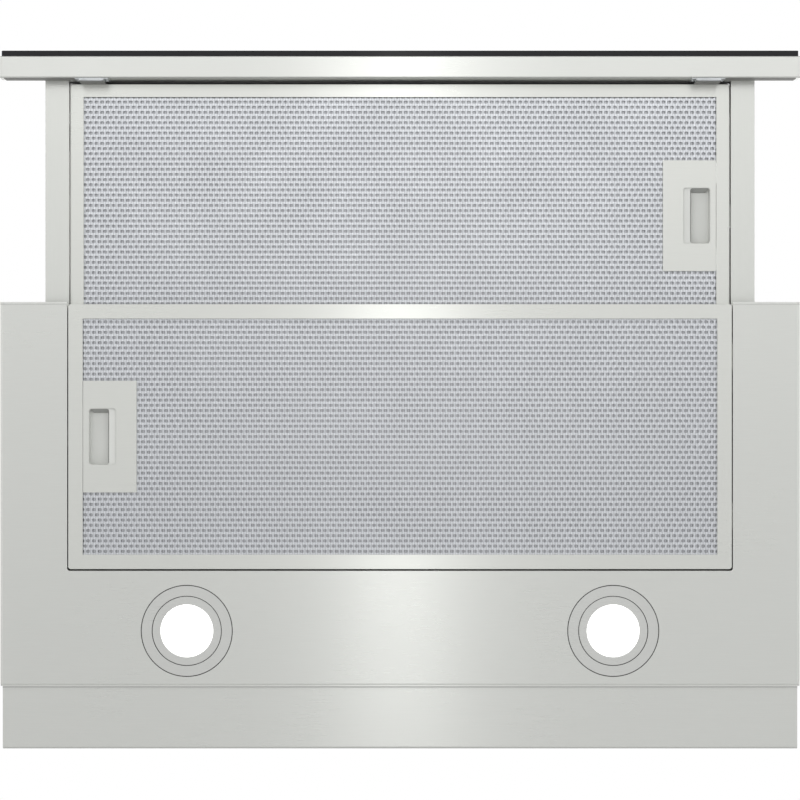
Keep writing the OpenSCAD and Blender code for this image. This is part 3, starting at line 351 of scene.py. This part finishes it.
def block(name, lo, hi, made):
    """Box between two corners. Its faces are bottom, top, front, rear, left and right."""
    corners = [(x, y, z) for z in (lo[2], hi[2]) for y in (lo[1], hi[1]) for x in (lo[0], hi[0])]
    faces = [(0, 2, 3, 1), (4, 5, 7, 6), (0, 1, 5, 4), (2, 6, 7, 3), (0, 4, 6, 2), (1, 3, 7, 5)]
    return mesh_object(name, corners, faces, made)


def sign_of(side):
    return -1 if side == "left" else 1


# Filters

# Cell of the expanded metal, from centre to centre, and half the slit inside it
PITCH = 4.32 * MM
ROW = 3.9 * MM
SLIT_HALF_W = 1.4 * MM
SLIT_HALF_L = 1.3 * MM
# How much shorter a slit is at its two ends
SLIT_END = 0.6
CELL_CORNERS = ((1, -1), (1, 1), (0, 1), (-1, 1), (-1, -1), (0, -1))
# Rise of a strand, its twist, and how much both vary
LIFT = 0.07 * MM
ROLL = 0.06 * MM
UNEVEN = 0.12
FOIL = 0.2 * MM
# Corners that are the same when rounded to this many steps per mm are one corner
STEPS_PER_MM = 100


def expanded_sheet(name, lo, hi, z, scale, keep_out, made):
    """Sheet of expanded metal: staggered slits, with the strands between them tilted.

    lo and hi are its corners. keep_out is a rectangle, as (lo, hi), that has no cells.
    """
    rng = random.Random(name)
    pitch, row = PITCH * scale, ROW * scale
    (out_x0, out_y0), (out_x1, out_y1) = keep_out
    width, length = hi[0] - lo[0], hi[1] - lo[1]
    verts, faces, index = [], [], {}

    def vertex(x, y, lift):
        key = tuple(round(value / MM * STEPS_PER_MM) for value in (x, y, lift))
        if key not in index:
            index[key] = len(verts)
            verts.append((x, y, z + lift))
        return index[key]

    columns = int(width / (pitch / 2)) // 2
    rows = int(length / row) // 2
    x_mid, y_mid = (lo[0] + hi[0]) / 2, (lo[1] + hi[1]) / 2
    for j in range(-rows, rows + 1):
        for i in range(-columns, columns + 1):
            if (i + j) % 2:
                continue
            x, y = x_mid + i * pitch / 2, y_mid + j * row
            if out_x0 < x < out_x1 and out_y0 < y < out_y1:
                continue
            if abs(x - x_mid) > (width - pitch) / 2 or abs(y - y_mid) > (length - row) / 2:
                continue
            uneven = scale * (1 + rng.uniform(-UNEVEN, UNEVEN))
            roll = rng.uniform(-ROLL, ROLL)
            outer, inner = [], []
            for sx, sy in CELL_CORNERS:
                half_l = SLIT_HALF_L * scale * (SLIT_END if sx else 1)
                outer.append(vertex(x + sx * pitch / 2, y + sy * row / 2, 0))
                inner.append(vertex(x + sx * SLIT_HALF_W * scale, y + sy * half_l,
                                    (sy * LIFT + sx * roll) * uneven))
            count = len(CELL_CORNERS)
            for k in range(count):
                n = (k + 1) % count
                faces.append((outer[k], outer[n], inner[n], inner[k]))
    obj = mesh_object(name, verts, faces, made)
    thick = obj.modifiers.new("foil", "SOLIDIFY")
    thick.thickness, thick.offset = FOIL * scale, 0
    return obj


def core_mat(name, lo, hi, keep_out, made):
    """Inner layers of the filter, as one mat round the latch cover; its darker foil is painted
    shade deep in the filter.
    """
    (kx0, ky0), (kx1, ky1) = keep_out
    kx0, kx1 = max(kx0, lo[0]), min(kx1, hi[0])
    if kx0 - lo[0] > hi[0] - kx1:
        outline = [(lo[0], lo[1]), (hi[0], lo[1]), (hi[0], ky0), (kx0, ky0),
                   (kx0, ky1), (hi[0], ky1), (hi[0], hi[1]), (lo[0], hi[1])]
    else:
        outline = [(hi[0], hi[1]), (lo[0], hi[1]), (lo[0], ky1), (kx1, ky1),
                   (kx1, ky0), (lo[0], ky0), (lo[0], lo[1]), (hi[0], lo[1])]
    count = len(outline)
    verts = [(x, y, z) for z in (lo[2], hi[2]) for x, y in outline]
    faces = [tuple(range(count))[::-1], tuple(range(count, 2 * count))]
    faces += [(i, (i + 1) % count, (i + 1) % count + count, i + count) for i in range(count)]
    return mesh_object(name, verts, faces, made)


# Layers over the underside of the mesh, and the coarser sheet under the frame's top
LOWER_SHEET = 0.8 * MM
CORE_LOW = 2 * MM
CORE_HIGH = 3.6 * MM
UPPER_SHEET = 2.2 * MM
UPPER_SCALE = 1.6
# The sheets reach this far under the latch cover
COVER_INSET = 3 * MM
# Metres past the filter's end, so that no cell is left between the cover and the frame
BEYOND = 1


def dress_filter(key, body):
    """The layers inside one filter's frame, in place of its plain mesh."""
    lo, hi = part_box(key + "_filter_mesh")
    cover_lo, cover_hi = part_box(key + "_latch_cover")
    frame_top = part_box(key + "_filter_frame")[1].z
    x0, x1 = cover_lo.x + COVER_INSET, cover_hi.x - COVER_INSET
    if cover_lo.x < 0:
        x0 = lo.x - BEYOND
    else:
        x1 = hi.x + BEYOND
    keep_out = ((x0, cover_lo.y + COVER_INSET), (x1, cover_hi.y - COVER_INSET))
    layers = [
        expanded_sheet(key + "_mesh_lower", lo, hi, lo.z + LOWER_SHEET, 1, keep_out, filter_mesh),
        expanded_sheet(key + "_mesh_upper", lo, hi, frame_top - UPPER_SHEET, UPPER_SCALE, keep_out,
                       filter_mesh),
        core_mat(key + "_mesh_core", (lo.x, lo.y, lo.z + CORE_LOW), (hi.x, hi.y, lo.z + CORE_HIGH),
                 (cover_lo.xy, cover_hi.xy), shaded_filter_core),
    ]
    for piece in layers:
        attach(piece, body)
        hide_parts(key + "_filter_mesh")


dress_filter("drawer", "drawer")
dress_filter("rear", "rear_filter")


# Cups of the latches. The first five are the slider's own sizes, from its cover.

CUP_FROM_COVER = 4.6 * MM
CUP_WIDTH = 14.7 * MM
CUP_HALF_L = 20.8 * MM
CUP_MOUTH = 1.1 * MM
CUP_FLOOR = 6.7 * MM
CUP_CLEAR = 0.05 * MM
RAMP = 3 * MM
SIDE_RAMP = 2.6 * MM
# Dark strip on the cup's inner wall: painted shadow line
LEDGE_SHADE = 0.5 * MM
LEDGE_SHADE_SINK = 0.3 * MM


def ramp(name, mouth, foot, z_mouth, z_floor, made):
    """Sloped wall, from its edge at the mouth to its foot on the floor, as two pairs of points."""
    verts = [(x, y, z_mouth) for x, y in mouth]
    verts += [(x, y, z_floor) for x, y in mouth + foot]
    faces = [(0, 1, 5, 4), (0, 2, 3, 1), (2, 4, 5, 3), (0, 4, 2), (1, 3, 5)]
    return mesh_object(name, verts, faces, made)


def dress_cup(key):
    """Sloped front wall in a latch's finger cup, darker grey as its painted shadow, and a thin
    dark strip on its inner wall as the painted shadow line along the ledge.
    """
    cover_lo, cover_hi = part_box(key + "_latch_cover")
    side = -1 if cover_lo.x < 0 else 1
    outer = (cover_lo.x if side < 0 else cover_hi.x) - side * (CUP_FROM_COVER + CUP_CLEAR)
    inner = outer - side * (CUP_WIDTH - 2 * CUP_CLEAR)
    y_mid = (cover_lo.y + cover_hi.y) / 2
    y0, y1 = y_mid - CUP_HALF_L + CUP_CLEAR, y_mid + CUP_HALF_L - CUP_CLEAR
    z0, z1 = cover_lo.z + CUP_MOUTH + CUP_CLEAR, cover_lo.z + CUP_FLOOR - CUP_CLEAR
    foot = ((inner, y0 + RAMP), (outer - side * SIDE_RAMP, y0 + RAMP))
    front = ramp(key + "_cup_front", ((inner, y0), (outer, y0)), foot, z0, z1, cup_shadow_grey)
    x0, x1 = sorted((inner, inner + side * LEDGE_SHADE))
    shade_strip = block(key + "_cup_shadow_line", (x0, y0 + RAMP, z0 + LEDGE_SHADE_SINK), (x1, y1, z1), painted_shade_grey)
    for piece in (front, shade_strip):
        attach(piece, key + "_latch")


dress_cup("drawer")
dress_cup("rear")


# Grey strips in the gaps between the drawer filter and the rails, as painted shade

GAP_SHADE_CLEAR = 0.12 * MM
GAP_SHADE_FALL = 0.05 * MM
GAP_SHADE_HEIGHT = 0.5 * MM
# The frame's own side lies this far outside the latch cover
DRAWER_BORDER = 9.85 * MM
# Heights over the rail's foot. On the right the latch's nose passes below the strip; on the left
# the strip sits nearer the gap's mouth, so that gap's painted shade reads lighter.
LOW_SEAT = 2.6 * MM
HIGH_SEAT = 7 * MM


def rail_gap_shade(side, seat):
    """Grey strip in the gap between the filter's frame and a rail, at that height: its colour and
    height set how dark the gap's painted shade reads.
    """
    sign = sign_of(side)
    frame_lo, frame_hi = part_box("drawer_filter_frame")
    rail_lo, rail_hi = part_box("rail_" + side)
    top = rail_lo.z + seat - GAP_SHADE_FALL
    filter_side = (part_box("drawer_latch_cover")[1].x + DRAWER_BORDER) * sign
    rail_side = rail_hi.x if side == "left" else rail_lo.x
    x0, x1 = sorted((filter_side + sign * GAP_SHADE_CLEAR, rail_side - sign * GAP_SHADE_CLEAR))
    piece = block("rail_gap_shade_" + side, (x0, frame_lo.y, top - GAP_SHADE_HEIGHT), (x1, frame_hi.y, top),
                  gap_shade_grey)
    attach(piece, "drawer")


rail_gap_shade("left", LOW_SEAT)
rail_gap_shade("right", HIGH_SEAT)


# Rear edge of the bar

SHADE_END = 3 * MM
SHADE_BEFORE_CLIP = 0.4 * MM
SHADE_LOW = 1.6 * MM
SHADE_HIGH = 12.2 * MM
PIECE_CLEAR = 0.02 * MM
SHADE_SHEET = 0.3 * MM
FOOT_HALF = 9.3 * MM
FOOT_SHEET = 0.9 * MM
FOOT_SHORT = 0.3 * MM
CLIP_SHADE = 0.25 * MM


def bar_shade_strips(side):
    """Dark grey strip along the low end of the bar's rear wall as painted shade, the foot of a
    clip, and a dark grey strip behind the clip as its painted shadow.
    """
    sign = sign_of(side)
    bar_lo, bar_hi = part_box("front_bar")
    clip_lo, clip_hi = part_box("bar_clip_" + side)
    wall = bar_hi.y + PIECE_CLEAR
    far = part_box("bar_end_caps")[1].x - SHADE_END
    near = max(abs(clip_lo.x), abs(clip_hi.x)) + SHADE_BEFORE_CLIP
    x0, x1 = sorted((sign * near, sign * far))
    lip_shade = block("bar_lip_shade_" + side, (x0, wall, bar_lo.z + SHADE_LOW),
                 (x1, wall + SHADE_SHEET, bar_lo.z + SHADE_HIGH), painted_shade_grey)
    x_mid = (clip_lo.x + clip_hi.x) / 2
    x0, x1 = x_mid - FOOT_HALF, x_mid + FOOT_HALF
    foot = block("bar_clip_foot_" + side, (x0, wall, clip_lo.z - FOOT_SHEET),
                 (x1, clip_hi.y - FOOT_SHORT, clip_lo.z - PIECE_CLEAR), slots["galvanised_steel"])
    back = clip_hi.y + PIECE_CLEAR
    shade_strip = block("bar_clip_shade_" + side, (x0, back, clip_lo.z), (x1, back + CLIP_SHADE, clip_hi.z),
                painted_shade_grey)
    for piece in (lip_shade, foot, shade_strip):
        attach(piece, "drawer")


bar_shade_strips("left")
bar_shade_strips("right")


# Seam between the housing and the spacer

SEAM_FRONT = 1.1 * MM
SEAM_REAR = 1.9 * MM
SEAM_PROUD = 0.03 * MM
SEAM_DEEP = 0.45 * MM
SHADOW_LINE_FROM = 0.2 * MM
SHADOW_LINE_TO = 1 * MM


def seam():
    """Flat strip over the folds where the spacer meets the housing, with a thin grey strip on the
    joint as its painted shadow line.
    """
    joint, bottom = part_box("housing")[1].y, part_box("housing")[0].z
    lo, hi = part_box("rear_spacer")
    strip = block("seam_strip", (lo.x, joint - SEAM_FRONT, bottom - SEAM_PROUD),
                  (hi.x, joint + SEAM_REAR, bottom + SEAM_DEEP), steel)
    seam_shadow = block("seam_shadow_line", (lo.x, joint + SHADOW_LINE_FROM, bottom - 2 * SEAM_PROUD),
                 (hi.x, joint + SHADOW_LINE_TO, bottom - SEAM_PROUD), shadow_line_grey)
    for piece in (strip, seam_shadow):
        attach(piece, "hood")


seam()


# Front edge of the housing, on both sides of its opening

HEM_OUT = 1.2 * MM
HEM_HEIGHT = 1.2 * MM
HEM_CLEAR = 0.02 * MM
FOLD_FROM = 0.72 * MM
FOLD_TO = 0.9 * MM
FOLD_PROUD = 0.03 * MM
FOLD_CLEAR = 0.01 * MM


def front_hem(side):
    """Hem on the front edge of the housing's floor, in lighter steel as a painted highlight, with
    a grey strip as the painted shadow line of its fold.
    """
    sign = sign_of(side)
    lo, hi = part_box("housing")
    x0, x1 = sorted((sign * abs(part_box("latch_keeper")[1].x), sign * hi.x))
    hem = block("housing_hem_" + side, (x0, lo.y - HEM_OUT, lo.z),
                (x1, lo.y - HEM_CLEAR, lo.z + HEM_HEIGHT), hem_highlight_steel)
    fold = block("housing_fold_shade_" + side, (x0, lo.y + FOLD_FROM, lo.z - FOLD_PROUD),
                 (x1, lo.y + FOLD_TO, lo.z - FOLD_CLEAR), shadow_line_grey)
    for piece in (hem, fold):
        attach(piece, "hood")


front_hem("left")
front_hem("right")


# Lamps

# The bezel's hidden lip, and the gap all round the bezel and the ring
BEZEL_LIP = 2.6 * MM
LAMP_GAP = 0.45 * MM
LAMP_SHADE_SINK = 0.15 * MM
LAMP_SHADE_HEIGHT = 0.8 * MM
LAMP_SHADE_CLEAR = 0.02 * MM
LAMP_SHADE_LIP = 0.1 * MM
RING_SIDES = 96


def tube(name, center, inner, outer, z0, z1, made):
    """Closed ring with a square section."""
    verts, faces = [], []
    for i in range(RING_SIDES):
        turn = 2 * math.pi * i / RING_SIDES
        for r, z in ((inner, z0), (outer, z0), (outer, z1), (inner, z1)):
            verts.append((center[0] + r * math.cos(turn), center[1] + r * math.sin(turn), z))
    for i in range(RING_SIDES):
        n = (i + 1) % RING_SIDES
        for k in range(4):
            m = (k + 1) % 4
            faces.append((4 * i + k, 4 * n + k, 4 * n + m, 4 * i + m))
    return mesh_object(name, verts, faces, made)


def lamp_gap_shades(side):
    """Black rings in the gaps outside the bezel and between it and the ring, the outer with a thin
    lip: painted shade in the gaps.
    """
    bezel_lo, bezel_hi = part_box("lamp_bezel_" + side)
    ring_lo, ring_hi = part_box("lamp_ring_" + side)
    center = ((ring_lo.x + ring_hi.x) / 2, (ring_lo.y + ring_hi.y) / 2)
    ring_r = (ring_hi.x - ring_lo.x) / 2
    bezel_r = (bezel_hi.x - bezel_lo.x) / 2 - BEZEL_LIP
    bottom = bezel_lo.z + LAMP_SHADE_SINK
    lip_z = min(bezel_lo.z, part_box("housing")[0].z)
    shade_rings = [
        (name, r + LAMP_SHADE_CLEAR, r + LAMP_GAP - LAMP_SHADE_CLEAR, bottom, bottom + LAMP_SHADE_HEIGHT)
        for name, r in (("outer", bezel_r), ("inner", ring_r))
    ]
    shade_rings.append(("lip", bezel_r - LAMP_SHADE_LIP, bezel_r + LAMP_GAP + LAMP_SHADE_LIP,
                    lip_z - LAMP_SHADE_CLEAR, lip_z))
    for name, inner, outer, z0, z1 in shade_rings:
        # Black rings: painted shade in the gaps round the lamp
        piece = tube("lamp_gap_shade_" + name + "_" + side, center, inner, outer, z0, z1,
                     slots["rubber"])
        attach(piece, "hood")


lamp_gap_shades("left")
lamp_gap_shades("right")


# Floor, light and camera

# Strength of the world as a light, as the camera sees it, and as metal mirrors it: from
# level with the object to straight up and down
WORLD_LIGHT = 0.8
WHITE = 1.0
SIDE_LIGHT = 0.35
STEEP_LIGHT = 1.06
LOW_RAY = 0.1
STEEP_RAY = 0.6


def world():
    """Even light, plain white to the camera, and dimmer level with the object in metal."""
    made = bpy.data.worlds.new("studio")
    bpy.context.scene.world = made
    made.use_nodes = True
    tree = made.node_tree
    rays = add(tree, "ShaderNodeLightPath", {}).outputs
    seen = compute(tree, "MAXIMUM", rays["Is Camera Ray"], rays["Is Transmission Ray"])
    plain = spread(tree, seen, WORLD_LIGHT, WHITE, 0, 1)
    heading = add(tree, "ShaderNodeTexCoord", {}).outputs["Generated"]
    z = add(tree, "ShaderNodeSeparateXYZ", {"Vector": heading}).outputs["Z"]
    steep = compute(tree, "ABSOLUTE", z)
    mirrored = spread(tree, steep, SIDE_LIGHT, STEEP_LIGHT, LOW_RAY, STEEP_RAY)
    change = compute(tree, "SUBTRACT", mirrored, plain)
    strength = compute(tree, "MULTIPLY_ADD", rays["Is Glossy Ray"], change, plain)
    background = tree.nodes["Background"].inputs
    background["Color"].default_value = (1, 1, 1, 1)
    tree.links.new(strength, background["Strength"])


FLOOR_HALF = 6.0
FLOOR_Z = -1.75
FLOOR_PAINT = (0.82, 0.82, 0.82)
FLOOR_TONES = ((0.81, 0.81, 0.81), (0.83, 0.83, 0.83))
FLOOR_ROUGHNESS = 0.9
FLOOR_CLOUDS = 3


def floor():
    corners = ((-1, -1), (1, -1), (1, 1), (-1, 1))
    verts = [(x * FLOOR_HALF, y * FLOOR_HALF, FLOOR_Z) for x, y in corners]
    made, tree, bsdf = shader("floor_paint", FLOOR_PAINT, FLOOR_ROUGHNESS)
    tones = blend_colors(tree, noise(tree, FLOOR_CLOUDS), *FLOOR_TONES)
    tree.links.new(tones, bsdf.inputs["Base Color"])
    mesh_object("floor", verts, [(0, 1, 2, 3)], made)


def softbox(name, at, target, size, power):
    data = bpy.data.lights.new(name, "AREA")
    data.shape, (data.size, data.size_y), data.energy = "RECTANGLE", size, power
    lamp = bpy.data.objects.new(name, data)
    lamp.location = at
    lamp.rotation_euler = (Vector(target) - Vector(at)).to_track_quat("-Z", "Y").to_euler()
    bpy.context.scene.collection.objects.link(lamp)


# The camera looks straight up. SPAN is its distance from the housing's underside, where the
# picture is as wide as the hood. Both are in mm, as is the sensor.
CAMERA = (0.0, -0.0709, -1.493)
SPAN = 1450.0
WIDTH_AT_SPAN = 598.0
SENSOR = 36.0


def camera():
    data = bpy.data.cameras.new("camera")
    data.sensor_width = SENSOR
    data.lens = SENSOR * SPAN / WIDTH_AT_SPAN
    obj = bpy.data.objects.new("camera", data)
    obj.location = CAMERA
    obj.rotation_euler = (math.pi, 0, 0)
    bpy.context.scene.collection.objects.link(obj)
    bpy.context.scene.camera = obj


world()
floor()
# The band draws the bright streak down the middle of the brushed steel
softbox("band", at=(0, -0.28, -1.62), target=(0, -0.28, 0), size=(0.12, 1.35), power=0.7)
softbox("front", at=(0, -0.85, -1.53), target=(0, -0.1, 0), size=(2.4, 0.6), power=4)
softbox("left", at=(-1.6, -0.2, -0.9), target=(0, 0, 0), size=(1.2, 1.2), power=3)
softbox("right", at=(1.6, -0.2, -0.9), target=(0, 0, 0), size=(1.2, 1.2), power=3)
softbox("top", at=(0.4, -0.8, 1.6), target=(0, 0, 0.05), size=(1.4, 1.4), power=14)
camera()
bpy.context.scene.view_settings.view_transform = "Standard"
